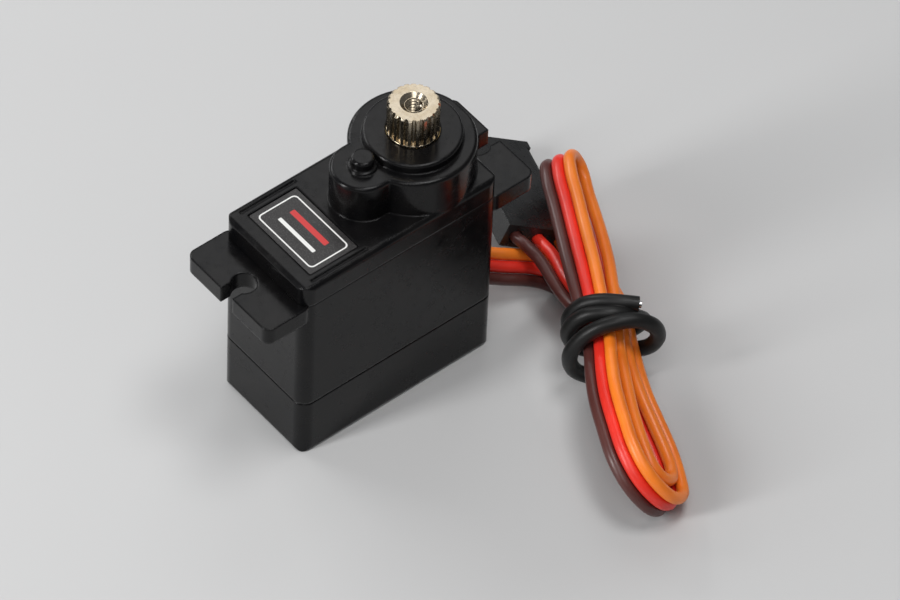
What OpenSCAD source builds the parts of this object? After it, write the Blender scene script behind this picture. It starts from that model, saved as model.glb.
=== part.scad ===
// Hobby servo motor with a three-wire lead tied in a hank.
// Units are millimetres and +Z is up.
// The origin is at the middle of the case's underside.
// +X is the long way, towards the output shaft; +Y is the width.

/* [Case] */
// Length of the case without the ears
case_len = 23.4; // [23.4:0.1:24]
// Width of the case
case_wid = 12.2; // [12.1:0.1:13]
// Height of the seam between the bottom cover and the body
seam_z = 7.05; // [6.8:0.05:7.4]
// Height of the top face of the ears and of the seam under the gear cover
ear_top_z = 21.15; // [21.1:0.05:21.4]
// Height of the top face of the gear cover
cover_top_z = 23.65; // [23.6:0.05:23.9]
// Wall thickness
wall = 1.0; // [0.9:0.05:1.1]

/* [Ears] */
// Distance over both ears
ear_span = 32.1; // [31.6:0.1:33]
// Thickness of an ear
ear_thk = 2.0; // [1.6:0.1:2.4]
// Distance between the two mounting holes
hole_span = 28.0; // [27.8:0.1:28.4]
// Radius of a mounting hole
hole_r = 1.25; // [1.1:0.05:1.3]
// Width of the slot that opens each hole to the ear's end
mouth_wid = 1.7; // [1.4:0.1:1.7]

/* [Turret] */
// Distance of the output axis from the middle of the case
output_x = 5.9; // [5.85:0.05:5.95]
// Height of the turret's ledge
ledge_z = 28.0; // [27.8:0.1:28.2]
// Radius of the raised disc round the output shaft
disc_r = 4.75; // [4.6:0.05:4.9]
// Height of the raised disc
disc_z = 29.0; // [28.9:0.05:29.1]
// Radius of the small boss over the idler pin
boss_r = 3.1; // [3.0:0.05:3.2]

/* [Output spline] */
// Radius over the spline's teeth
spline_r = 2.5; // [2.4:0.05:2.6]
// Number of teeth on the spline
spline_teeth = 21; // [20:1:25]
// Height of the spline's top face
spline_z = 32.65; // [32.2:0.05:33]
// Radius of the screw hole in the spline
screw_hole_r = 0.85; // [0.8:0.05:0.95]

/* [Lead] */
// Diameter of one wire of the lead
wire_d = 1.15; // [1.0:0.05:1.18]
// Length of the folded hank
hank_len = 41.6; // [38:0.1:43]
// Length of the plug
plug_len = 14; // [13:0.5:14.5]

/* [Hidden] */
$fn = 48;

// Case shell
corner_r = 1.3;
room_corner_r = 0.4;
ear_corner_r = 0.9;
edge_r = 0.5;
seam_groove_wid = 0.15;
seam_groove_dep = 0.1;
floor_thk = 1.2;
deck_z = 17.2;
deck_thk = 1.2;
in_len = case_len - 2 * wall;
in_wid = case_wid - 2 * wall;
turret_r = case_wid / 2;
turret_roof = 1.0;
turret_edge = 0.35;
disc_edge = 0.25;
button_r = 1.12;
button_top_z = ledge_z + 1.25;
button_foot_r = 1.4;
button_foot_z = ledge_z + 0.25;
turret_room_r = turret_r - 1.1;
boss_room_r = 2.15;
idler_x = output_x - 6;
fit_gap = 0.02;
run_gap = 0.03;
// Longer than any hole through the case
through = 30;

// Screws through the four corners
screw_x = case_len / 2 - 1.7;
screw_y = case_wid / 2 - 1.7;
screw_r = 0.6;
screw_head_r = 1.05;
screw_head_h = 0.8;
screw_head_sink = 0.15;
recess_len = 1.2;
recess_wid = 0.24;
recess_dep = 0.5;
screw_top_z = 22.4;
post_r = 1.35;

// Label and grooves on the gear cover
label_x = -7.05;
label_len = 5.6;
label_wid = 9.1;
label_recess = 0.2;
label_thk = 0.12;
label_corner_r = 0.15;
label_play = 0.1;
groove_wid = 0.3;
groove_dep = 0.15;
groove_len = 6.6;
groove_x0 = -10.3;
groove_y = 5.3;

// Gears: one module throughout, so meshing tooth counts add up to the axis distance
gear_m = 0.25;
pressure_deg = 20;
teeth_pinion = 8;
teeth_first = 38;
teeth_first_small = 13;
teeth_second = 35;
teeth_second_small = 10;
teeth_third = 38;
teeth_third_small = 13;
teeth_output = 35;
motor_x = idler_x - gear_m * (teeth_pinion + teeth_first) / 2;
first_z = 18.1;
second_z = 19.2;
third_z = 20.4;
output_gear_z = 21.6;
gear_thk = 0.9;
pin_r = 0.6;
pin_foot = 0.9;
pin_top_z = ledge_z + 0.3;
shaft_r = 0.6;
shaft_z = 15.6;
neck_r = 2.0;
neck_z = 24.4;
neck_top_z = 28.6;
collar_r = spline_r - 0.1;
collar_z = 29.2;
// Plain ring under the teeth, and the cover's opening round it
ring_r = spline_r + 0.02;
ring_thk = 0.25;
opening_r = ring_r + 0.05;
tooth_dep = 0.26;
// Half widths of a spline tooth at its root and its tip, as shares of the pitch
root_share = 0.36;
tip_share = 0.19;
spline_chamfer = 0.17;
screw_hole_dep = 6;
hole_mouth_r = 1.35;
hole_mouth_dep = 0.35;

// Bushes of the output shaft
upper_bush_r = 3.1;
upper_bush_z = 25.6;
upper_bush_top_z = 28.3;
lower_bush_r = 1.7;

// Motor
can_r = 4.55;
can_z0 = 5.2;
can_z1 = 17.0;
can_wall = 0.4;
can_boss_r = 1.6;
motor_shaft_r = 0.5;
armature_z = 7;
armature_len = 8;
armature_r = 2.9;
winding_gap = 0.6;
magnet_bore_r = 3.2;
magnet_gap = 2;
terminal_y = 2.6;
terminal_wid = 1;
terminal_thk = 0.4;

// Position sensor and control board
pot_z = 9.6;
pot_thk = 3.0;
pot_r = 4.2;
pot_shaft_r = 1.0;
pot_rib_thk = 3;
board_z = 2.2;
board_thk = 0.8;
board_len = 20.0;
board_wid = 6.0;

// Lead: where it leaves the end wall
exit_z = 6.0;
wire_pitch = 1.2;
wire_sides = 8;
grommet_wid = 4.6;
grommet_z0 = 4.9;

// Routes of the red wire; the brown and the orange wire lie to its sides.
// Each row is a point, the direction from the red wire to the orange one, and their distance.
lead_route = [
    [[8.4, 0, 3.1], [0, 1, 0], 1.2],
    [[8.5, 0, 4.4], [0, 1, 0], 1.2],
    [[9.0, 0, 5.5], [0, 1, 0], 1.2],
    [[9.95, 0, 6.0], [0, 1, 0], 1.2],
    [[12.4, 0, 6.0], [0, 1, 0], 1.2],
    [[13.2, -0.5, 5.6], [0.2, 0.95, 0.25], 1.22],
    [[14.2, -1.25, 4.9], [0.4, 0.75, 0.5], 1.27],
    [[15.75, -2.0, 4.2], [0.47, 0.6, 0.65], 1.32],
    [[17.35, -2.7, 3.6], [0.47, 0.6, 0.65], 1.32],
    [[19.1, -3.35, 2.75], [0.45, 0.55, 0.7], 1.25],
    [[20.15, -4.35, 2.35], [0.35, 0.4, 0.8], 1.25],
    [[20.65, -5.9, 2.15], [0.2, 0.25, 0.9], 1.2],
    [[20.9, -7.7, 2.3], [0.3, 0.1, 0.9], 1.2],
    [[21.5, -11.2, 3.9], [0.5, -0.1, 0.8], 1.25],
    [[20.55, -13.0, 4.5], [0.66, -0.4, 0.64], 1.25]];
plug_route = [
    [[21.1, -0.9, 4.4], [0.83, -0.35, -0.43], 2.54],
    [[20.75, -1.85, 4.5], [0.83, -0.35, -0.43], 2.54],
    [[20.45, -2.65, 4.6], [0.83, -0.35, -0.43], 2.45],
    [[20.2, -3.7, 4.85], [0.85, -0.38, -0.3], 2.1],
    [[20.1, -5.45, 4.95], [0.85, -0.4, -0.1], 1.6],
    [[19.5, -7.05, 5.05], [0.8, -0.45, 0.2], 1.3],
    [[19.35, -8.75, 5.15], [0.7, -0.4, 0.5], 1.2],
    [[18.8, -10.6, 5.5], [0.66, -0.4, 0.64], 1.2]];

// Hank: its middle, its heading, its slope and the tilt of its flat side
hank_mid = [18.2, -15.0, 6.0];
hank_yaw = -115.7;
hank_slope = 7;
hank_roll = -50;
hank_thk = 3.7;
// Half the hank's depth at the tie, and half the length over which it is that narrow
hank_half = 2.35;
tie_end = 4.2;
// Outlines of the loops beyond the tie, seen from the side: distance along the hank, and depth
lower_loop = [[6, -4], [9.7, -4.9], [13, -4.95], [16.4, -4.7], [19.3, -3.1],
    [hank_len / 2, 0.3], [20.3, 2.3], [19, 3.2], [17.5, 3.5], [14, 3.7], [11, 3]];
upper_loop = [[-11, 3], [-16, 3.9], [-18, 4.15], [-19.4, 3.8], [-20.4, 2.8],
    [-hank_len / 2, 1.3], [-20.4, -0.1], [-19.4, -1], [-18, -1.4], [-14, -1.6], [-10, -1.9]];

// Tie: where it sits along the hank, and its ring
tie_place = 2.3;
tie_strand_r = 0.75;
tie_ring_r = 3.95;

// Plug: the middle of its wire end, its heading, its slope and its tilt
plug_mid = [20.76, -1.83, 4.5];
plug_yaw = 70.2;
plug_slope = 6.6;
plug_roll = 25.5;
plug_wid = 7.6;
plug_thk = 2.6;
contact_pitch = 2.54;
contact_wid = 1.7;
contact_bore = 1;
pin_opening = 0.8;
wire_hole_r = 0.7;
marker_dep = 0.35;

// ---------- shared shapes ----------

// A flat outline with round corners.
module round_rect(len, wid, r) {
    square([len - 2 * r, wid], center = true);
    square([len, wid - 2 * r], center = true);
    for (x = [-1, 1])
        for (y = [-1, 1])
            translate([x * (len / 2 - r), y * (wid / 2 - r)])
                circle(r);
}

// An upright block with round corners.
module round_block(len, wid, z0, z1, r) {
    translate([0, 0, z0])
        linear_extrude(z1 - z0)
            round_rect(len, wid, r);
}

// The waste outside a quarter round along X, for an edge at the origin facing +Y and +Z.
module edge_waste(len, r) {
    translate([-len / 2, -r, -r])
        difference() {
            cube([len, 2 * r, 2 * r]);
            translate([-1, 0, 0])
                rotate([0, 90, 0])
                    cylinder(h = len + 2, r = r);
        }
}

// The waste for all four edges of a rectangular face at height zero.
module rim_waste(len, wid, r) {
    for (s = [0, 180])
        rotate([0, 0, s]) {
            translate([0, wid / 2, 0])
                edge_waste(len + 2, r);
            rotate([0, 0, 90])
                translate([0, len / 2, 0])
                    edge_waste(wid + 2, r);
        }
}

// A round-edged disc that stands on z0.
module soft_disc(r, z0, z1, e) {
    translate([0, 0, z0])
        rotate_extrude()
            union() {
                square([r - e, z1 - z0]);
                square([r, z1 - z0 - e]);
                translate([r - e, z1 - z0 - e])
                    circle(e, $fn = 24);
            }
}

// Places its children at the four screws.
module at_screws() {
    for (x = [-1, 1])
        for (y = [-1, 1])
            translate([x * screw_x, y * screw_y, 0])
                children();
}

// ---------- gear teeth ----------

// Turn of an involute flank, in degrees, where its radius is r and its base radius is rb.
function involute_turn(r, rb) = r <= rb ? 0 : sqrt((r / rb) * (r / rb) - 1) * 180 / PI
    - acos(rb / r);

// Half the angle of a tooth at radius r, for a tooth count z and a share of the pitch.
function tooth_half(r, z, share) = let (rp = gear_m * z / 2, rb = rp * cos(pressure_deg))
    180 / z * share + involute_turn(rp, rb) - involute_turn(r, rb);

// Outline of a gear with tooth number 0 on the +X axis.
function gear_points(z, share) = let (rp = gear_m * z / 2, root = rp - 1.25 * gear_m,
        tip = rp + 0.8 * gear_m, low = max(root + 0.01, rp * cos(pressure_deg)))
    [for (i = [0 : z - 1])
        for (p = [[root, 1], [low, 1], [rp, 1], [tip, 1], [tip, -1], [rp, -1], [low, -1], [root, -1]])
            let (a = i * 360 / z - p[1] * tooth_half(max(p[0], low), z, share))
                p[0] * [cos(a), sin(a)]];

// Turn that puts a gap at 180 degrees, where the driving gear has its tooth.
function gap_turn(z) = z % 2 == 0 ? 180 / z : 0;

module gear(z, thk, turn = 0, share = 0.44) {
    rotate([0, 0, turn])
        linear_extrude(thk)
            polygon(gear_points(z, share));
}

// ---------- case ----------

module ear_outline(side) {
    ear_len = (ear_span - case_len) / 2 + 1;
    difference() {
        translate([side * (ear_span / 2 - ear_len / 2), 0])
            round_rect(ear_len, case_wid, ear_corner_r);
        translate([side * hole_span / 2, 0])
            circle(hole_r);
        translate([side * (hole_span / 2 + 3), 0])
            square([6, mouth_wid], center = true);
    }
}

module case_middle() color([0.03, 0.03, 0.03]) {
    difference() {
        union() {
            round_block(case_len, case_wid, seam_z, ear_top_z, corner_r);
            for (side = [-1, 1])
                translate([0, 0, ear_top_z - ear_thk])
                    linear_extrude(ear_thk)
                        ear_outline(side);
        }
        // Motor and sensor room, left full where the screws pass
        difference() {
            round_block(in_len, in_wid, seam_z - 1, deck_z - deck_thk, room_corner_r);
            at_screws()
                cylinder(h = through, r = post_r);
        }
        // Gear room
        difference() {
            round_block(in_len, in_wid, deck_z, ear_top_z + 1, room_corner_r);
            at_screws()
                cylinder(h = through, r = post_r);
        }
        translate([motor_x, 0, deck_z - deck_thk - 1])
            cylinder(h = 1.8, r = can_r + fit_gap);
        translate([motor_x, 0, deck_z - 2])
            cylinder(h = 3, r = can_boss_r + fit_gap);
        translate([idler_x, 0, deck_z - pin_foot])
            cylinder(h = 2, r = pin_r);
        translate([output_x, 0, deck_z - 3])
            cylinder(h = 4, r = lower_bush_r + fit_gap);
        at_screws()
            cylinder(h = through, r = screw_r + fit_gap);
    }
    // Ribs that hold the position sensor
    for (y = [-1, 1])
        translate([output_x - pot_rib_thk / 2, y > 0 ? pot_r : -in_wid / 2 - 0.05, pot_z])
            cube([pot_rib_thk, in_wid / 2 + 0.05 - pot_r, deck_z - deck_thk - pot_z + 0.05]);
}

module case_bottom() color([0.03, 0.03, 0.03]) {
    difference() {
        round_block(case_len, case_wid, 0, seam_z, corner_r);
        difference() {
            round_block(in_len, in_wid, floor_thk, seam_z + 1, room_corner_r);
            at_screws()
                cylinder(h = through, r = post_r);
        }
        rotate([180, 0, 0])
            rim_waste(case_len, case_wid, edge_r);
        // Shadow groove at the seam
        difference() {
            round_block(case_len + 1, case_wid + 1, seam_z - seam_groove_wid, seam_z + 1, corner_r);
            round_block(case_len - 2 * seam_groove_dep, case_wid - 2 * seam_groove_dep,
                seam_z - 1, seam_z + 2, corner_r);
        }
        // Slot for the lead's grommet
        translate([case_len / 2 - wall - 1, -grommet_wid / 2, grommet_z0])
            cube([wall + 2, grommet_wid, 5]);
        at_screws() {
            cylinder(h = through, r = screw_r + fit_gap);
            translate([0, 0, -1])
                cylinder(h = 1 + screw_head_h, r = screw_head_r);
        }
    }
    // Ribs under the control board
    for (x = [-6, 6])
        translate([x - 0.5, -2, floor_thk - 0.05])
            cube([1, 4, board_z - floor_thk + 0.05]);
}

// The turret and the boss, solid.
module turret_body() {
    translate([output_x, 0, 0])
        soft_disc(turret_r, ear_top_z + 1, ledge_z, turret_edge);
    translate([idler_x, 0, 0])
        soft_disc(boss_r, ear_top_z + 1, ledge_z, turret_edge);
    // Straight flanks between the two, with the same soft edge
    translate([idler_x, 0, 0])
        rotate([90, 0, 90])
            linear_extrude(output_x - idler_x)
                for (s = [-1, 1])
                    union() {
                        translate([s > 0 ? 0 : -boss_r, ear_top_z + 1])
                            square([boss_r, ledge_z - ear_top_z - 1 - turret_edge]);
                        translate([s > 0 ? 0 : -boss_r + turret_edge, ear_top_z + 1])
                            square([boss_r - turret_edge, ledge_z - ear_top_z - 1]);
                        translate([s * (boss_r - turret_edge), ledge_z - turret_edge])
                            circle(turret_edge, $fn = 24);
                    }
    translate([output_x, 0, 0])
        soft_disc(disc_r, ledge_z - 0.5, disc_z, disc_edge);
    // Button over the idler pin and its rib to the disc
    translate([idler_x, 0, 0]) {
        soft_disc(button_foot_r, ledge_z - 0.5, button_foot_z, 0.1);
        soft_disc(button_r, ledge_z - 0.5, button_top_z, 0.25);
    }
    translate([idler_x, -0.4, ledge_z - 0.5])
        cube([1.8, 0.8, 0.85]);
}

module gear_cover() color([0.03, 0.03, 0.03]) {
    difference() {
        union() {
            difference() {
                round_block(case_len, case_wid, ear_top_z, cover_top_z, corner_r);
                translate([0, 0, cover_top_z])
                    rim_waste(case_len, case_wid, edge_r);
            }
            intersection() {
                turret_body();
                round_block(case_len, case_wid, ear_top_z, disc_z + 1, corner_r);
            }
        }
        // Room for the gears, left full where the screws end
        difference() {
            round_block(in_len, in_wid, ear_top_z - 1, cover_top_z - wall, room_corner_r);
            at_screws()
                cylinder(h = through, r = post_r);
        }
        translate([output_x, 0, ear_top_z - 1])
            cylinder(h = upper_bush_z - ear_top_z + 1, r = turret_room_r);
        translate([idler_x, 0, ear_top_z - 1])
            cylinder(h = ledge_z - turret_roof - ear_top_z + 1, r = boss_room_r);
        translate([idler_x, 0, ear_top_z])
            cylinder(h = pin_top_z - ear_top_z, r = pin_r);
        // Seat of the upper bush and the opening over it
        translate([output_x, 0, upper_bush_z - 1])
            cylinder(h = upper_bush_top_z - upper_bush_z + 1, r = upper_bush_r + fit_gap);
        translate([output_x, 0, ledge_z])
            cylinder(h = 2, r = opening_r);
        at_screws()
            translate([0, 0, ear_top_z - 1])
                cylinder(h = screw_top_z - ear_top_z + 1, r = screw_r + fit_gap);
        // Recess of the label and the two grooves beside it
        translate([label_x - label_len / 2 - label_play, -label_wid / 2 - label_play,
            cover_top_z - label_recess])
            cube([label_len + 2 * label_play, label_wid + 2 * label_play, 1]);
        for (y = [-1, 1])
            translate([groove_x0, y * groove_y - groove_wid / 2, cover_top_z - groove_dep])
                cube([groove_len, groove_wid, 1]);
    }
}

module name_label() color([0.16, 0.13, 0.12])
    translate([label_x, 0, cover_top_z - label_recess])
        linear_extrude(label_thk)
            round_rect(label_len, label_wid, label_corner_r);

module case_screws() color([0.55, 0.55, 0.57])
    at_screws()
        difference() {
            union() {
                translate([0, 0, screw_head_sink])
                    cylinder(h = screw_head_h - screw_head_sink, r = screw_head_r - fit_gap);
                translate([0, 0, screw_head_h])
                    cylinder(h = screw_top_z - screw_head_h, r = screw_r);
            }
            // Cross recess in the head
            for (a = [0, 90])
                rotate([0, 0, a])
                    translate([-recess_len / 2, -recess_wid / 2, 0])
                        cube([recess_len, recess_wid, recess_dep]);
        }

// ---------- output shaft ----------

function spline_points(n, tip, root) =
    [for (i = [0 : n - 1])
        for (p = [[root, -root_share], [tip, -tip_share], [tip, tip_share], [root, root_share]])
            let (a = (i + p[1]) * 360 / n)
                p[0] * [cos(a), sin(a)]];

// The teeth, with their upper ends chamfered.
module spline() {
    spline_len = spline_z - collar_z;
    intersection() {
        linear_extrude(spline_len)
            polygon(spline_points(spline_teeth, spline_r, spline_r - tooth_dep));
        rotate_extrude()
            polygon([[0, -1], [spline_r + 1, -1], [spline_r + 1, spline_len - 1 - spline_chamfer],
                [spline_r - spline_chamfer, spline_len], [0, spline_len]]);
    }
}

module output_gear() color([0.72, 0.67, 0.58])
    translate([output_x, 0, 0])
        difference() {
            union() {
                translate([0, 0, collar_z])
                    spline();
                // Plain ring under the teeth, and the neck that runs in the upper bush
                soft_disc(ring_r, collar_z + 0.05 - ring_thk, collar_z + 0.05, 0.05);
                translate([0, 0, neck_top_z - 0.2])
                    cylinder(h = collar_z - neck_top_z + 0.1, r = collar_r);
                translate([0, 0, neck_z])
                    cylinder(h = neck_top_z - neck_z, r = neck_r);
                translate([0, 0, output_gear_z])
                    gear(teeth_output, 2.9, gap_turn(teeth_output));
                translate([0, 0, shaft_z])
                    cylinder(h = output_gear_z - shaft_z + 0.1, r = shaft_r);
            }
            translate([0, 0, spline_z - screw_hole_dep])
                cylinder(h = screw_hole_dep + 1, r = screw_hole_r);
            translate([0, 0, spline_z - hole_mouth_dep])
                rotate_extrude()
                    polygon([[0, -0.01], [screw_hole_r + 0.05, -0.01],
                        [hole_mouth_r, hole_mouth_dep + 0.01], [0, hole_mouth_dep + 0.01]]);
        }

module output_bush_upper() color([0.72, 0.56, 0.28])
    translate([output_x, 0, upper_bush_z])
        difference() {
            cylinder(h = upper_bush_top_z - upper_bush_z, r = upper_bush_r);
            translate([0, 0, -1])
                cylinder(h = 5, r = neck_r + run_gap);
        }

module output_bush_lower() color([0.72, 0.56, 0.28])
    translate([output_x, 0, deck_z - deck_thk])
        difference() {
            cylinder(h = deck_thk - 0.1, r = lower_bush_r);
            translate([0, 0, -1])
                cylinder(h = 4, r = shaft_r + run_gap);
        }

// ---------- reduction gears ----------

// A large and a small gear in one piece, running on an axle of radius axle_r.
module compound_gear(z_base, large, large_turn, small, small_h, axle_r) {
    translate([0, 0, z_base])
        difference() {
            union() {
                gear(large, gear_thk, large_turn);
                gear(small, gear_thk + small_h);
            }
            translate([0, 0, -1])
                cylinder(h = gear_thk + small_h + 2, r = axle_r + run_gap);
        }
}

module first_gear() color([0.75, 0.62, 0.35])
    translate([idler_x, 0, 0])
        compound_gear(first_z, teeth_first, gap_turn(teeth_first), teeth_first_small, 1.2, pin_r);

module second_gear() color([0.72, 0.70, 0.66])
    translate([output_x, 0, 0])
        compound_gear(second_z, teeth_second, gap_turn(teeth_second), teeth_second_small, 1.3, shaft_r);

module third_gear() color([0.75, 0.62, 0.35])
    translate([idler_x, 0, 0])
        compound_gear(third_z, teeth_third, 180 / teeth_third, teeth_third_small, 3.1, pin_r);

module idler_pin() color([0.6, 0.6, 0.62])
    translate([idler_x, 0, deck_z - pin_foot])
        cylinder(h = pin_top_z - deck_z + pin_foot, r = pin_r);

// ---------- motor ----------

module motor_pinion() color([0.78, 0.62, 0.3])
    translate([motor_x, 0, first_z - 0.1])
        difference() {
            gear(teeth_pinion, 1.2);
            translate([0, 0, -1])
                cylinder(h = 3, r = motor_shaft_r);
        }

module motor_shaft() color([0.6, 0.6, 0.62])
    translate([motor_x, 0, can_z0 + 0.25])
        cylinder(h = first_z + 0.85 - can_z0, r = motor_shaft_r);

module motor_armature() color([0.65, 0.35, 0.15])
    translate([motor_x, 0, armature_z])
        difference() {
            cylinder(h = armature_len, r = armature_r);
            translate([0, 0, -1])
                cylinder(h = armature_len + 2, r = motor_shaft_r);
            // The three slots between the windings
            for (a = [0, 120, 240])
                rotate([0, 0, a])
                    translate([1.6, -winding_gap / 2, -1])
                        cube([3, winding_gap, armature_len + 2]);
        }

module motor_magnets() color([0.2, 0.2, 0.22])
    translate([motor_x, 0, armature_z])
        difference() {
            cylinder(h = armature_len, r = can_r - can_wall - fit_gap);
            translate([0, 0, -1])
                cylinder(h = armature_len + 2, r = magnet_bore_r);
            for (s = [-1, 1])
                translate([-magnet_gap / 2, s > 0 ? 0 : -6, -1])
                    cube([magnet_gap, 6, armature_len + 2]);
        }

module motor_can() color([0.7, 0.7, 0.72])
    translate([motor_x, 0, can_z0])
        difference() {
            union() {
                cylinder(h = can_z1 - can_z0 - 0.2, r = can_r);
                cylinder(h = can_z1 - can_z0 + 0.4, r = can_boss_r);
            }
            translate([0, 0, -1])
                cylinder(h = can_z1 - can_z0 - can_wall + 0.8, r = can_r - can_wall);
            translate([0, 0, -1])
                cylinder(h = 20, r = motor_shaft_r + run_gap);
        }

module motor_end_cap() color([0.85, 0.82, 0.75])
    translate([motor_x, 0, can_z0])
        difference() {
            cylinder(h = 1, r = can_r - can_wall - fit_gap);
            translate([0, 0, 0.2])
                cylinder(h = 4, r = motor_shaft_r + run_gap);
            for (s = [-1, 1])
                translate([-terminal_wid / 2, s * terminal_y - terminal_thk / 2, -1])
                    cube([terminal_wid, terminal_thk, 3]);
        }

module motor_terminals() color([0.78, 0.62, 0.3])
    for (s = [-1, 1])
        translate([motor_x - terminal_wid / 2, s * terminal_y - terminal_thk / 2, can_z0 - 1])
            cube([terminal_wid, terminal_thk, 2]);

// ---------- position sensor and board ----------

module feedback_pot() color([0.1, 0.25, 0.5])
    translate([output_x, 0, pot_z])
        difference() {
            cylinder(h = pot_thk, r = pot_r);
            translate([0, 0, 0.8])
                cylinder(h = pot_thk, r = pot_shaft_r + run_gap);
        }

module pot_shaft() color([0.9, 0.9, 0.88])
    translate([output_x, 0, pot_z + 0.9])
        cylinder(h = shaft_z - pot_z - 0.9, r = pot_shaft_r);

module control_board() color([0.05, 0.3, 0.12])
    translate([-board_len / 2, -board_wid / 2, board_z])
        cube([board_len, board_wid, board_thk]);

module driver_chip() color([0.08, 0.08, 0.08])
    translate([3.5, -1.5, board_z + board_thk])
        cube([3, 3, 0.8]);

module control_chip() color([0.08, 0.08, 0.08])
    translate([-1.8, -2, board_z + board_thk])
        cube([4, 4, 0.9]);

module board_capacitors() color([0.6, 0.5, 0.35])
    for (y = [-2.4, 0, 2.4])
        translate([-9.6, y - 0.4, board_z + board_thk])
            cube([1.2, 0.8, 0.7]);

module motor_leads() color([0.6, 0.1, 0.1])
    for (s = [-1, 1])
        translate([motor_x, s * terminal_y, board_z + board_thk])
            cylinder(h = can_z0 - 1 - board_z - board_thk, r = 0.35);

module pot_leads() color([0.5, 0.5, 0.5])
    for (y = [-2, 0, 2])
        translate([output_x - 2.9, y, board_z + board_thk])
            cylinder(h = pot_z - board_z - board_thk, r = 0.3);

// ---------- lead ----------

module lead_grommet() color([0.05, 0.05, 0.05])
    difference() {
        translate([case_len / 2 - wall - 0.6, -grommet_wid / 2, grommet_z0])
            cube([wall + 0.9, grommet_wid, seam_z - grommet_z0]);
        // One flat slot for the three wires side by side
        translate([case_len / 2 - 4, 0, exit_z])
            rotate([90, 0, 90])
                linear_extrude(6)
                    round_rect(2 * wire_pitch + wire_d + 0.04, wire_d + 0.04, wire_d / 2);
    }

function unit(v) = v / norm(v);

// The centre points of one wire: side is -1 brown, 0 red, 1 orange.
function wire_points(route, side) =
    let (red = [for (row = route) row[0]])
    [for (i = [0 : len(route) - 1])
        let (along = heading(red, i), across = route[i][1])
        red[i] + side * route[i][2] * unit(across - (across * along) * along)];

// Direction of a path of points at point i.
function heading(p, i) = unit(p[min(i + 1, len(p) - 1)] - p[max(i - 1, 0)]);

// A ring of points round point i of a path, square to its heading.
function ring(p, i, r, n) = let (h = heading(p, i), u = unit(cross(h, [0.37, 0.21, 0.9])),
        v = cross(h, u))
    [for (k = [0 : n - 1]) p[i] + r * cos(360 * k / n) * u + r * sin(360 * k / n) * v];

module tube(p, r, n) {
    m = len(p);
    points = [for (i = [0 : m - 1]) each ring(p, i, r, n)];
    sides = [for (i = [0 : m - 2])
        for (k = [0 : n - 1])
            [i * n + k, i * n + (k + 1) % n, (i + 1) * n + (k + 1) % n, (i + 1) * n + k]];
    polyhedron(points, concat([[for (k = [n - 1 : -1 : 0]) k]], sides,
        [[for (k = [0 : n - 1]) (m - 1) * n + k]]));
}

module lead_wire(side) {
    tube(wire_points(lead_route, side), wire_d / 2, wire_sides);
    tube(wire_points(plug_route, side), wire_d / 2, wire_sides);
}

module lead_wire_brown() color([0.3, 0.13, 0.1])
    lead_wire(-1);

module lead_wire_red() color([0.75, 0.08, 0.06])
    lead_wire(0);

module lead_wire_orange() color([0.9, 0.4, 0.08])
    lead_wire(1);

module in_hank_frame() {
    translate(hank_mid)
        rotate([0, 0, hank_yaw])
            rotate([0, hank_slope, 0])
                rotate([hank_roll, 0, 0])
                    children();
}

// The folded wires as one body: narrow where the tie holds them, wide at the lower loop.
module lead_hank() color([0.9, 0.4, 0.08])
    in_hank_frame()
        translate([0, 0, -hank_thk / 2])
            linear_extrude(hank_thk)
                polygon(concat([[-tie_end, -hank_half], [tie_end, -hank_half]], lower_loop,
                    [[tie_end, hank_half], [-tie_end, hank_half]], upper_loop));

module cable_tie() color([0.04, 0.04, 0.04])
    in_hank_frame()
        for (s = [-1, 1])
            translate([tie_place + s * tie_strand_r * 0.98, 0, 0])
                rotate([0, 90, 0])
                    rotate_extrude()
                        translate([tie_ring_r, 0])
                            circle(tie_strand_r, $fn = 24);

module in_plug_frame() {
    translate(plug_mid)
        rotate([0, 0, plug_yaw])
            rotate([0, plug_slope, 0])
                rotate([plug_roll, 0, 0])
                    children();
}

module plug_housing() color([0.04, 0.04, 0.04])
    in_plug_frame()
        difference() {
            translate([0, -plug_wid / 2, -plug_thk / 2])
                cube([plug_len, plug_wid, plug_thk]);
            for (i = [-1, 0, 1])
                translate([0, i * contact_pitch, 0]) {
                    // Wire hole, room for the contact, and the narrow opening for the mating pin
                    translate([-1, 0, 0])
                        rotate([0, 90, 0])
                            cylinder(h = 3, r = wire_hole_r);
                    translate([1.2, -contact_wid / 2, -contact_wid / 2])
                        cube([plug_len - 2, contact_wid, contact_wid]);
                    translate([plug_len - 1, -pin_opening / 2, -pin_opening / 2])
                        cube([2, pin_opening, pin_opening]);
                }
            // Shallow marker step along one edge
            translate([1, -plug_wid / 2 - 1, plug_thk / 2 - marker_dep])
                cube([plug_len - 2, 1.5, 1]);
        }

module plug_contacts() color([0.78, 0.66, 0.35])
    in_plug_frame()
        for (i = [-1, 0, 1])
            translate([2.5, i * contact_pitch, 0])
                difference() {
                    translate([0, -contact_wid / 2, -contact_wid / 2])
                        cube([plug_len - 4, contact_wid, contact_wid]);
                    translate([-1, -contact_bore / 2, -contact_bore / 2])
                        cube([plug_len, contact_bore, contact_bore]);
                }

case_middle();
case_bottom();
gear_cover();
name_label();
case_screws();
output_gear();
output_bush_upper();
output_bush_lower();
first_gear();
second_gear();
third_gear();
idler_pin();
motor_pinion();
motor_shaft();
motor_armature();
motor_magnets();
motor_can();
motor_end_cap();
motor_terminals();
feedback_pot();
pot_shaft();
control_board();
driver_chip();
control_chip();
board_capacitors();
motor_leads();
pot_leads();
lead_grommet();
lead_wire_brown();
lead_wire_red();
lead_wire_orange();
lead_hank();
cable_tie();
plug_housing();
plug_contacts();
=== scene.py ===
"""Looks of the hobby servo motor: its three-wire lead, its tie, every finish, the light and the camera."""

from math import cos, pi, radians, sin

import bpy
from mathutils import Matrix, Vector


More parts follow.
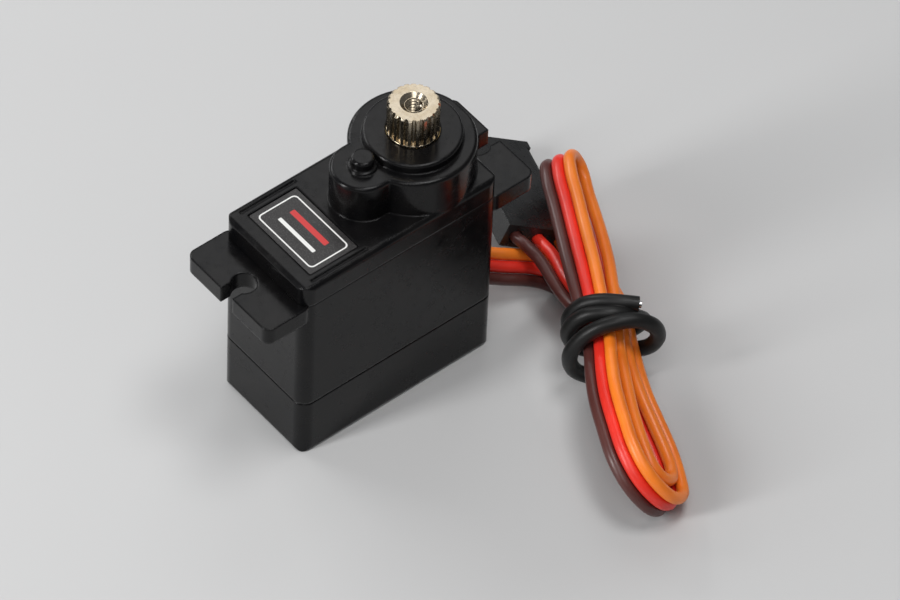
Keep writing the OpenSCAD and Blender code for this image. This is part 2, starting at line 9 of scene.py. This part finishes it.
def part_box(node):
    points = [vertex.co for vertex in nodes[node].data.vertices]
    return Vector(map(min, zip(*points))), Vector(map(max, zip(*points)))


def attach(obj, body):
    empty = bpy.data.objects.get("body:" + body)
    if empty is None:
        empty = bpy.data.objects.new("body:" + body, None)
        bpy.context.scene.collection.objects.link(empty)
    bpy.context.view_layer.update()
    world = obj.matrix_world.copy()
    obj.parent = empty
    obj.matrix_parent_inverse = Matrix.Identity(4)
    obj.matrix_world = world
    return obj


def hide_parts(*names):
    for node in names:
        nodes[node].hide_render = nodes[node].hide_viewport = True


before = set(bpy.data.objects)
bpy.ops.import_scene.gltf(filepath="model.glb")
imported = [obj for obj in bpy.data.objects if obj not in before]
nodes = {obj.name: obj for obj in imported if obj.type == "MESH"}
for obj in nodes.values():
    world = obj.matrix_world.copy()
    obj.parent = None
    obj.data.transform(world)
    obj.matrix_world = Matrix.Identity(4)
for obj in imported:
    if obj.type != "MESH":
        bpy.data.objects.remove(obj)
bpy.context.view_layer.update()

MM = 0.001

# ---------- sizes and places, in millimetres ----------

# Camera: the point it looks at, its heading, height and tilt in degrees, and its distance
LOOK_AT = (4.953, -7.418, 12.0)
CAMERA_AZIMUTH = -41.299
CAMERA_ELEVATION = 49.432
CAMERA_ROLL = 2.655
CAMERA_DISTANCE = 705.66
LENS = 299.75
# Nearest and farthest distance that the camera sees, in metres
CLIP_RANGE = (0.05, 5)

# Lead wires
WIRE_D = 1.21
CONTACT_PITCH = 2.54

# Hank: its middle, heading, slope and the tilt of its flat side in degrees
HANK_MID = (18.2, -15.0, 6.0)
HANK_YAW = -115.7
HANK_SLOPE = 7
HANK_ROLL = 40
# The upper loop's ribbon lies flatter than the rest
UPPER_ROLL = 25
HANK_PITCH = 1.25
TIE_PITCH = 1.22
TIE_REACH = 5

# The red wire's way from inside the case to the hank: a point, the direction to the orange wire
# and the distance to it
LEAD_ROUTE = [
    ((8.5, 0, 4.4), (0, 1, 0), 1.2),
    ((9.0, 0, 5.5), (0, 1, 0), 1.2),
    ((9.95, 0, 6.0), (0, 1, 0), 1.2),
    ((11.9, 0, 6.0), (0, 1, 0), 1.2),
    ((13.1, -0.45, 5.6), (0.2, 0.95, 0.25), 1.22),
    ((14.2, -1.25, 4.9), (0.4, 0.75, 0.5), 1.22),
    ((15.75, -2.0, 4.2), (0.47, 0.6, 0.65), 1.22),
    ((17.35, -2.7, 3.6), (0.47, 0.6, 0.65), 1.22),
    ((19.1, -3.35, 2.75), (0.45, 0.55, 0.7), 1.22),
    ((20.15, -4.35, 2.35), (0.35, 0.4, 0.8), 1.22),
    ((20.65, -5.9, 2.15), (0.2, 0.25, 0.9), 1.22),
    ((20.9, -7.7, 2.3), (0.3, 0.1, 0.9), 1.22),
    ((21.5, -11.2, 3.9), (0.5, -0.1, 0.8), 1.22),
    ((20.55, -13.0, 4.5), (0.66, -0.4, 0.64), 1.22),
]

# Its way through the hank: distances along it, across it to the orange side, and down into it
OUTER_LOOP = [
    (0, 0, 1.8), (3, 0, 1.5), (6, 0, 1.3), (8.5, 0, 1.5), (11.2, 0, 2.3), (14.2, 0, 3.1),
    (17.2, 0, 3.2), (19, 0, 2.85), (20, 0, 1.7), (20.3, 0, 0.3), (19.9, 0, -1.2), (18.8, 0, -2.8),
    (16.6, 0, -4.05), (13, 0, -4.4), (9.8, 0, -4.35), (6.5, 0, -3.6), (3.5, 0, -2.6), (0.5, 0, -2),
]
UPPER_LOOP = [
    (-2.6, 0, -1.75), (-6, 0, -1.5), (-10, 0, -1.25), (-14, 0, -0.95), (-17.4, 0, -0.75),
    (-18.9, -0.05, -0.2), (-19.75, -0.2, 0.8), (-20.05, -0.45, 1.8), (-19.75, -0.7, 2.8),
    (-18.9, -0.95, 3.45), (-17.4, -1.1, 3.65), (-14.5, -0.85, 3.25), (-11, -0.5, 2.65),
    (-7.5, -0.2, 1.85), (-4, 0, 0.9),
]
INNER_LOOP = [
    (0, 0, 0.55), (4, 0, 0.1), (8, 0, 0.1), (11.7, 0, 0.95), (14.4, 0, 1.7), (16.5, 0, 1.95),
    (17.8, 0, 1.5), (18.45, 0, 0.35), (18.2, 0, -0.9), (17.2, 0, -1.75), (15.8, 0, -2.1),
    (12.4, 0, -2.35), (8.5, 0, -2), (4.5, 0, -1.3), (0.5, 0, -0.7),
]

# Its way from the hank into the plug
PLUG_ROUTE = [
    ((18.2, -12.75, 6.3), (0.66, -0.4, 0.64), 1.22),
    ((18.5, -10.75, 5.9), (0.66, -0.4, 0.64), 1.22),
    ((18.85, -9.0, 5.65), (0.7, -0.4, 0.5), 1.22),
    ((19.3, -7.3, 5.45), (0.8, -0.45, 0.2), 1.22),
    ((19.9, -5.7, 5.25), (0.85, -0.4, -0.1), 1.45),
    ((20.4, -4.15, 4.95), (0.85, -0.38, -0.3), 1.9),
    ((20.6, -2.85, 4.7), (0.83, -0.35, -0.43), 2.35),
    ((20.75, -1.85, 4.5), (0.83, -0.35, -0.43), CONTACT_PITCH),
    ((21.1, -0.9, 4.4), (0.83, -0.35, -0.43), CONTACT_PITCH),
]

# Tie: a stiff coated wire wound round the hank. Each row is the angle round the hank in degrees
# from the orange side over the top, the distance along the hank, and the radius.
TIE_STRAND_D = 1.55
TIE_CORE_D = 0.7
TIE_CORE_REACH = 0.25
TIE_ROUTE = [
    (15, 0.8, 4.65), (34, 0.35, 4.05), (62, -0.4, 3.6), (90, -0.9, 3.45), (135, -1.1, 3.45),
    (180, -1.1, 3.5), (225, -0.9, 3.5), (270, -0.5, 3.5), (315, 0.2, 3.5), (360, 1.3, 3.5),
    (405, 1.4, 3.8), (450, 0.7, 4.05), (495, 0.4, 3.9), (540, 0.5, 3.6), (585, 0.7, 3.5),
    (630, 1.6, 3.5), (675, 2.9, 3.75), (700, 3.2, 4.4), (720, 3.2, 4.85), (745, 3.0, 4.9),
    (765, 2.9, 4.65), (810, 2.8, 4.25), (855, 2.8, 4.25), (900, 2.7, 4.6), (945, 2.7, 4.95),
    (975, 2.7, 4.7),
]

# Thread in the output shaft
THREAD_R = 0.85
THREAD_PITCH = 0.4
THREAD_START = 0.55
THREAD_TURNS = 7
THREAD_STEPS = 28
# Its ridge: how far it stands out of the hole's wall and goes into it, and its half width
RIDGE_OUT = 0.17
RIDGE_IN = 0.03
RIDGE_HALF = 0.14

# Print on the label: half length, half width and corner radius of the frame's outside and inside
FRAME_OUTSIDE = (2.3, 4.05, 0.5)
FRAME_INSIDE = (2.15, 3.9, 0.4)
# The two bars: distance from the middle, then the same three sizes
RED_BAR = (0.75, (0.3, 2.6, 0.1))
WHITE_BAR = (-0.75, (0.2, 2.6, 0.1))

# Sizes of the noises in the materials: how many patches there are to a metre
CLOUD_SCALE = 300
SMEAR_SCALE = 900
GRAIN_SCALE = 10000
TOOL_LINE_SCALE = 4000
STAIN_SCALE = 700
SHEATH_CLOUD_SCALE = 250
SCUFF_SCALE = 2200
SPECKLE_SCALE = 9000
FLOOR_CLOUD_SCALE = 12
FLOOR_GRAIN_SCALE = 3000

# Floor
FLOOR_HALF = 1500

# Light: name, place, size and power in watts of each soft panel, and the point they all face
PANELS = [
    ("back_panel", (-40, 330, 260), (300, 60), 0.7),
    ("side_panel", (-330, 60, 200), (60, 260), 1.0),
    ("top_panel", (60, -60, 420), (160, 120), 0.6),
    ("far_panel", (245, 270, 450), (260, 260), 0.34),
    ("front_panel", (-180, -205, 420), (180, 180), 0.4),
]
LIGHT_AIM = (3, -2, 12)
AMBIENT_COLOUR = (0.95, 0.97, 1.0)
AMBIENT_STRENGTH = 0.15


# ---------- camera ----------

def camera_axes():
    """Unit vectors to the right, up and back of the camera."""
    azimuth, elevation, roll = map(radians, (CAMERA_AZIMUTH, CAMERA_ELEVATION, CAMERA_ROLL))
    back = Vector((sin(azimuth) * cos(elevation), -cos(azimuth) * cos(elevation), sin(elevation)))
    level = Vector((0, 0, 1)).cross(back).normalized()
    rise = back.cross(level)
    right = cos(roll) * level + sin(roll) * rise
    return right, back.cross(right), back


def make_camera():
    right, up, back = camera_axes()
    data = bpy.data.cameras.new("camera")
    data.lens = LENS
    data.clip_start, data.clip_end = CLIP_RANGE
    camera = bpy.data.objects.new("camera", data)
    bpy.context.scene.collection.objects.link(camera)
    place = (Vector(LOOK_AT) + CAMERA_DISTANCE * back) * MM
    turn = Matrix((right, up, back)).transposed().to_4x4()
    camera.matrix_world = Matrix.Translation(place) @ turn
    bpy.context.scene.camera = camera


# ---------- lead wires ----------

def hank_axes(roll=HANK_ROLL):
    """Unit vectors along the hank, across it from the brown to the orange wire, and down into it."""
    yaw, slope, tilt = map(radians, (HANK_YAW, HANK_SLOPE, roll))
    along = Vector((cos(yaw) * cos(slope), sin(yaw) * cos(slope), -sin(slope)))
    side = Vector((-sin(yaw), cos(yaw), 0))
    rise = along.cross(side)
    return along, cos(tilt) * side + sin(tilt) * rise, sin(tilt) * side - cos(tilt) * rise


def in_hank(place):
    along, across, down = hank_axes()
    return Vector(HANK_MID) + place[0] * along + place[1] * across + place[2] * down


def hank_route():
    """Points of the red wire in the hank, each with the direction and distance to the orange one."""
    route = []
    for place in OUTER_LOOP + UPPER_LOOP + INNER_LOOP:
        share = min(1, max(0, -place[0] / TIE_REACH))
        roll = (1 - share) * HANK_ROLL + share * UPPER_ROLL
        pitch = TIE_PITCH if abs(place[0]) < TIE_REACH else HANK_PITCH
        route.append((in_hank(place), hank_axes(roll)[1], pitch))
    return route


def wire_points(side):
    """Centre points of one wire: side is -1 for brown, 0 for red and 1 for orange."""
    route = LEAD_ROUTE + hank_route() + PLUG_ROUTE
    red = [Vector(point) for point, _, _ in route]
    points = []
    for i, (_, across, pitch) in enumerate(route):
        heading = (red[min(i + 1, len(red) - 1)] - red[max(i - 1, 0)]).normalized()
        across = Vector(across)
        square = (across - across.dot(heading) * heading).normalized()
        points.append((red[i] + side * pitch * square) * MM)
    return points


def smooth_path(points, steps=6):
    """Points of a smooth path through the given ones, with `steps` to each stretch."""
    gaps = [(b - a).length for a, b in zip(points, points[1:])]
    slopes = [(points[1] - points[0]) / gaps[0]]
    for i in range(1, len(points) - 1):
        before = (points[i] - points[i - 1]) / gaps[i - 1]
        after = (points[i + 1] - points[i]) / gaps[i]
        share = gaps[i - 1] / (gaps[i - 1] + gaps[i])
        slopes.append((1 - share) * before + share * after)
    slopes.append((points[-1] - points[-2]) / gaps[-1])
    path = []
    for i, gap in enumerate(gaps):
        for step in range(steps):
            u = step / steps
            path.append(
                (2 * u**3 - 3 * u**2 + 1) * points[i]
                + (u**3 - 2 * u**2 + u) * gap * slopes[i]
                + (3 * u**2 - 2 * u**3) * points[i + 1]
                + (u**3 - u**2) * gap * slopes[i + 1]
            )
    path.append(points[-1])
    return path


def round_strand(name, points, diameter, material):
    """A round strand along a smooth path through the points."""
    path = smooth_path(points)
    data = bpy.data.curves.new(name, "CURVE")
    data.dimensions = "3D"
    data.bevel_depth = diameter / 2
    data.bevel_resolution = 6
    data.use_fill_caps = True
    spline = data.splines.new("POLY")
    spline.points.add(len(path) - 1)
    for knot, place in zip(spline.points, path):
        knot.co = (*place, 1)
    spline.use_smooth = True
    data.materials.append(material)
    piece = bpy.data.objects.new(name, data)
    bpy.context.scene.collection.objects.link(piece)
    return piece, path


def make_wire(colour_name, side, material, *stands_for):
    points = wire_points(side)
    wire, path = round_strand(f"wire_{colour_name}", points, WIRE_D * MM, material)
    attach(wire, "case")
    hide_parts(*stands_for)
    return wire


# ---------- shader building ----------

class Shader:
    """A material's node tree with one principled surface."""

    def __init__(self, name):
        self.material = bpy.data.materials.new(name)
        self.material.use_nodes = True
        self.tree = self.material.node_tree
        self.surface = self.tree.nodes["Principled BSDF"]
        self.place = self.node("ShaderNodeTexCoord").outputs["Object"]

    def node(self, kind, inputs=None, **settings):
        made = self.tree.nodes.new(kind)
        for key, value in settings.items():
            setattr(made, key, value)
        for key, value in (inputs or {}).items():
            self.put(made.inputs[key], value)
        return made

    def put(self, socket, value):
        if isinstance(value, bpy.types.NodeSocket):
            self.tree.links.new(value, socket)
        else:
            socket.default_value = value

    def noise(self, scale, detail=3, roughness=0.5, place=None):
        made = self.node(
            "ShaderNodeTexNoise",
            {"Vector": place or self.place, "Scale": scale, "Detail": detail, "Roughness": roughness},
        )
        return made.outputs["Fac"]

    def stretched(self, x, y, z):
        made = self.node("ShaderNodeMapping", {"Vector": self.place, "Scale": (x, y, z)})
        return made.outputs["Vector"]

    def math(self, operation, a, b=0.0, clamp=False):
        made = self.node("ShaderNodeMath", {0: a, 1: b}, operation=operation, use_clamp=clamp)
        return made.outputs[0]

    def between(self, value, low, high, out_low=0.0, out_high=1.0):
        made = self.node(
            "ShaderNodeMapRange",
            {"Value": value, "From Min": low, "From Max": high, "To Min": out_low, "To Max": out_high},
        )
        return made.outputs["Result"]

    def mix(self, share, a, b):
        made = self.node("ShaderNodeMix", data_type="RGBA")
        self.put(made.inputs["Factor"], share)
        self.put(made.inputs["A"], a)
        self.put(made.inputs["B"], b)
        return made.outputs["Result"]

    def relief(self, height, distance, strength=1.0, edge=0.0):
        """Small relief of a height field, over edges softened by a radius."""
        inputs = {"Height": height, "Distance": distance, "Strength": strength}
        if edge:
            soft = self.node("ShaderNodeBevel", {"Radius": edge}, samples=6)
            inputs["Normal"] = soft.outputs["Normal"]
        bump = self.node("ShaderNodeBump", inputs)
        self.put(self.surface.inputs["Normal"], bump.outputs["Normal"])

    def set(self, **values):
        for key, value in values.items():
            self.put(self.surface.inputs[key.replace("_", " ")], value)


def rgb(r, g, b):
    return (r, g, b, 1.0)


def plastic(name, colour, worn, gloss, depth=0.004, edge=0.1, sheen=0.5, wear=0.14):
    """Moulded plastic: fine grain, faint clouding of the colour and uneven gloss."""
    shader = Shader(name)
    cloud = shader.noise(CLOUD_SCALE, 4)
    smear = shader.noise(SMEAR_SCALE, 5, 0.65)
    fine = shader.noise(GRAIN_SCALE, 2)
    shader.set(
        Base_Color=shader.mix(shader.between(cloud, 0.35, 0.7), colour, worn),
        Roughness=shader.between(smear, 0.3, 0.75, gloss, gloss + wear),
        Specular_IOR_Level=sheen,
    )
    shader.relief(fine, depth * MM, 0.5, edge * MM)
    return shader.material


def metal(name, colour, dark, gloss, lines=(1, 1, 1), depth=0.003, edge=0.05):
    """Machined or rolled metal: tool lines stretched along one axis, stains and scratches."""
    shader = Shader(name)
    tool = shader.noise(TOOL_LINE_SCALE, 3, place=shader.stretched(*lines))
    stain = shader.noise(STAIN_SCALE, 4, 0.6)
    shader.set(
        Base_Color=shader.mix(shader.between(stain, 0.4, 0.75), colour, dark),
        Metallic=1.0,
        Roughness=shader.between(tool, 0.3, 0.7, gloss, gloss + 0.15),
    )
    shader.relief(tool, depth * MM, 0.6, edge * MM)
    return shader.material


def sheath(name, colour, dark, gloss):
    """Drawn wire sheath: soft sheen and small scuffs."""
    shader = Shader(name)
    cloud = shader.noise(SHEATH_CLOUD_SCALE, 3)
    scuff = shader.noise(SCUFF_SCALE, 5, 0.7)
    shader.set(
        Base_Color=shader.mix(shader.between(cloud, 0.35, 0.7), colour, dark),
        Roughness=shader.between(scuff, 0.3, 0.75, gloss, gloss + 0.16),
        Subsurface_Weight=0.08,
        Subsurface_Radius=(0.0006, 0.0003, 0.0002),
        Subsurface_Scale=1.0,
    )
    shader.relief(scuff, 0.006 * MM, 0.4)
    return shader.material


# ---------- finishes ----------

def make_finishes():
    return {
        "black_plastic": plastic(
            "black_plastic_look", rgb(0.003, 0.003, 0.0035), rgb(0.006, 0.0055, 0.0055), 0.12,
            depth=0.002, edge=0.3, sheen=0.2, wear=0.22),
        "screw_steel": metal("screw_steel_look", rgb(0.55, 0.55, 0.56), rgb(0.3, 0.3, 0.32), 0.25),
        "nickel_steel": metal(
            "nickel_steel_look", rgb(0.46, 0.4, 0.31), rgb(0.37, 0.3, 0.2), 0.14, edge=0.03),
        "bush_brass": metal("bush_brass_look", rgb(0.75, 0.55, 0.25), rgb(0.5, 0.33, 0.12), 0.25),
        "gear_brass": metal("gear_brass_look", rgb(0.78, 0.58, 0.28), rgb(0.55, 0.36, 0.14), 0.2),
        "gear_steel": metal("gear_steel_look", rgb(0.6, 0.6, 0.6), rgb(0.4, 0.4, 0.4), 0.25),
        "pin_steel": metal("pin_steel_look", rgb(0.7, 0.7, 0.7), rgb(0.5, 0.5, 0.5), 0.15),
        "winding_copper": metal(
            "winding_copper_look", rgb(0.7, 0.3, 0.14), rgb(0.45, 0.16, 0.07), 0.3, (1, 1, 9)),
        "magnet_iron": metal("magnet_iron_look", rgb(0.12, 0.12, 0.13), rgb(0.07, 0.07, 0.07), 0.5),
        "can_steel": metal(
            "can_steel_look", rgb(0.65, 0.65, 0.66), rgb(0.45, 0.45, 0.46), 0.22, (1, 1, 0.1)),
        "cream_plastic": plastic(
            "cream_plastic_look", rgb(0.75, 0.7, 0.58), rgb(0.65, 0.6, 0.48), 0.35),
        "contact_brass": metal(
            "contact_brass_look", rgb(0.8, 0.6, 0.3), rgb(0.6, 0.42, 0.18), 0.2),
        "blue_plastic": plastic("blue_plastic_look", rgb(0.03, 0.1, 0.4), rgb(0.02, 0.07, 0.3), 0.3),
        "white_plastic": plastic("white_plastic_look", rgb(0.8, 0.8, 0.78), rgb(0.7, 0.7, 0.67), 0.35),
        "board_green": plastic("board_green_look", rgb(0.02, 0.16, 0.06), rgb(0.03, 0.22, 0.09), 0.3),
        "chip_black": plastic("chip_black_look", rgb(0.02, 0.02, 0.02), rgb(0.03, 0.03, 0.03), 0.5),
        "capacitor_ceramic": plastic(
            "capacitor_ceramic_look", rgb(0.55, 0.42, 0.27), rgb(0.45, 0.33, 0.2), 0.35),
        "inner_wire": sheath("inner_wire_look", rgb(0.5, 0.03, 0.03), rgb(0.4, 0.02, 0.02), 0.35),
        "black_rubber": plastic(
            "black_rubber_look", rgb(0.006, 0.006, 0.006), rgb(0.011, 0.0105, 0.01), 0.36,
            depth=0.008, sheen=0.3),
        "brown_sheath": sheath(
            "brown_sheath_look", rgb(0.1, 0.03, 0.025), rgb(0.075, 0.021, 0.018), 0.3),
        "red_sheath": sheath("red_sheath_look", rgb(0.86, 0.035, 0.02), rgb(0.7, 0.025, 0.015), 0.3),
        "orange_sheath": sheath(
            "orange_sheath_look", rgb(0.97, 0.24, 0.02), rgb(0.86, 0.19, 0.015), 0.3),
        "plug_plastic": plastic(
            "plug_plastic_look", rgb(0.01, 0.0105, 0.011), rgb(0.018, 0.018, 0.018), 0.22),
    }


def label_film():
    """Dark speckled film with a thin white frame and two plain bars."""
    shader = Shader("label_film_look")
    low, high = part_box("name_label")
    middle = (Vector(low) + Vector(high)) / 2
    split = shader.node("ShaderNodeSeparateXYZ", {"Vector": shader.place})
    x = shader.math("SUBTRACT", split.outputs["X"], middle.x)
    y = shader.math("SUBTRACT", split.outputs["Y"], middle.y)
    speckle = shader.noise(SPECKLE_SCALE, 2)
    ground = shader.mix(
        shader.between(speckle, 0.5, 0.72), rgb(0.012, 0.011, 0.011), rgb(0.07, 0.065, 0.065))

    def beyond(distance, half):
        """How far a signed distance goes beyond a half size on either side."""
        size = shader.math("ABSOLUTE", distance)
        return shader.math("MAXIMUM", shader.math("SUBTRACT", size, half * MM), 0.0)

    def inside(centre_x, sizes):
        """1 inside a rectangle with round corners."""
        half_x, half_y, round_r = sizes
        out_x = beyond(shader.math("SUBTRACT", x, centre_x * MM), half_x - round_r)
        out_y = beyond(y, half_y - round_r)
        square_x = shader.math("MULTIPLY", out_x, out_x)
        square_y = shader.math("MULTIPLY", out_y, out_y)
        reach = shader.math("SQRT", shader.math("ADD", square_x, square_y))
        return shader.math("LESS_THAN", reach, round_r * MM)

    frame_line = shader.math("SUBTRACT", inside(0, FRAME_OUTSIDE), inside(0, FRAME_INSIDE))
    white = rgb(0.7, 0.7, 0.68)
    colour = shader.mix(frame_line, ground, white)
    colour = shader.mix(inside(*RED_BAR), colour, rgb(0.5, 0.03, 0.03))
    colour = shader.mix(inside(*WHITE_BAR), colour, white)
    shader.set(Base_Color=colour, Roughness=shader.between(speckle, 0.3, 0.7, 0.3, 0.42), IOR=1.45)
    shader.relief(speckle, 0.004 * MM, 0.4)
    return shader.material


def finish_nodes(finishes):
    """Gives every CAD node the look of its material slot."""
    for node in nodes.values():
        for place, slot in enumerate(node.material_slots):
            name = slot.material.name.split(".")[0]
            node.data.materials[place] = finishes[name]


# ---------- tie ----------

def tie_points():
    along, across, down = hank_axes()
    points = []
    for angle, place, radius in TIE_ROUTE:
        turn = radians(angle)
        out = cos(turn) * across - sin(turn) * down
        points.append((Vector(HANK_MID) + place * along + radius * out) * MM)
    return points


def make_tie(finishes):
    points = tie_points()
    tie, path = round_strand("tie_wire", points, TIE_STRAND_D * MM, finishes["black_rubber"])
    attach(tie, "case")
    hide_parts("cable_tie")
    # The metal core shows at the cut end
    tip = path[0] + (path[0] - path[1]).normalized() * TIE_CORE_REACH * MM
    core, _ = round_strand(
        "tie_core", [path[2], path[0], tip], TIE_CORE_D * MM, finishes["pin_steel"])
    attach(core, "case")


# ---------- thread in the output shaft ----------

def make_thread(finishes):
    """The crests of the thread, a ridge that winds down the screw hole."""
    low, high = (Vector(corner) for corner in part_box("output_gear"))
    middle = (low + high) / 2
    top = high.z - THREAD_START * MM
    profile = [
        (THREAD_R + RIDGE_IN, RIDGE_HALF), (THREAD_R - RIDGE_OUT, 0), (THREAD_R + RIDGE_IN, -RIDGE_HALF),
    ]
    rows = []
    for i in range(THREAD_TURNS * THREAD_STEPS + 1):
        angle = 2 * pi * i / THREAD_STEPS
        out = Vector((cos(angle), sin(angle), 0))
        drop = THREAD_PITCH * MM * i / THREAD_STEPS
        centre = Vector((middle.x, 0, top - drop))
        rows.append([centre + out * radius * MM + Vector((0, 0, rise * MM)) for radius, rise in profile])
    vertices = [point for ridge in rows for point in ridge]
    faces = []
    for i in range(len(rows) - 1):
        for k in range(2):
            faces.append((3 * i + k, 3 * i + k + 1, 3 * i + k + 4, 3 * i + k + 3))
        faces.append((3 * i + 2, 3 * i, 3 * i + 3, 3 * i + 5))
    last = 3 * (len(rows) - 1)
    faces += [(0, 2, 1), (last, last + 1, last + 2)]
    mesh = bpy.data.meshes.new("shaft_thread")
    mesh.from_pydata(vertices, [], faces)
    mesh.materials.append(finishes["nickel_steel"])
    thread = bpy.data.objects.new("shaft_thread", mesh)
    bpy.context.scene.collection.objects.link(thread)
    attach(thread, "output")


# ---------- floor, light ----------

def floor_material():
    shader = Shader("floor_look")
    cloud = shader.noise(FLOOR_CLOUD_SCALE, 3)
    shader.set(
        Base_Color=shader.mix(cloud, rgb(0.5, 0.5, 0.5), rgb(0.54, 0.54, 0.54)),
        Roughness=shader.between(cloud, 0.3, 0.7, 0.75, 0.85),
    )
    shader.relief(shader.noise(FLOOR_GRAIN_SCALE, 2), 0.01 * MM, 0.3)
    return shader.material


def make_floor():
    """A flat sheet that lies under the object."""
    corners = [(x, y, 0) for x, y in ((-1, -1), (1, -1), (1, 1), (-1, 1))]
    mesh = bpy.data.meshes.new("floor")
    mesh.from_pydata([Vector(corner) * FLOOR_HALF * MM for corner in corners], [], [(0, 1, 2, 3)])
    mesh.materials.append(floor_material())
    sheet = bpy.data.objects.new("floor", mesh)
    bpy.context.scene.collection.objects.link(sheet)


def area_light(name, place, size, power):
    data = bpy.data.lights.new(name, "AREA")
    data.shape = "RECTANGLE"
    data.size, data.size_y = (value * MM for value in size)
    data.energy = power
    light = bpy.data.objects.new(name, data)
    light.location = Vector(place) * MM
    towards = (Vector(LIGHT_AIM) - Vector(place)) * MM
    light.rotation_mode = "QUATERNION"
    light.rotation_quaternion = towards.to_track_quat("-Z", "Y")
    bpy.context.scene.collection.objects.link(light)


def make_light():
    world = bpy.data.worlds.new("studio")
    world.use_nodes = True
    background = world.node_tree.nodes["Background"]
    background.inputs["Color"].default_value = rgb(*AMBIENT_COLOUR)
    background.inputs["Strength"].default_value = AMBIENT_STRENGTH
    bpy.context.scene.world = world
    bpy.context.scene.view_settings.view_transform = "Standard"
    for panel in PANELS:
        area_light(*panel)


# ---------- the scene ----------

make_camera()
looks = make_finishes()
looks["label_film"] = label_film()
make_wire("red", 0, looks["red_sheath"], "lead_wire_red")
make_wire("brown", -1, looks["brown_sheath"], "lead_wire_brown")
make_wire("orange", 1, looks["orange_sheath"], "lead_wire_orange", "lead_hank")
make_tie(looks)
make_thread(looks)
finish_nodes(looks)
make_floor()
make_light()
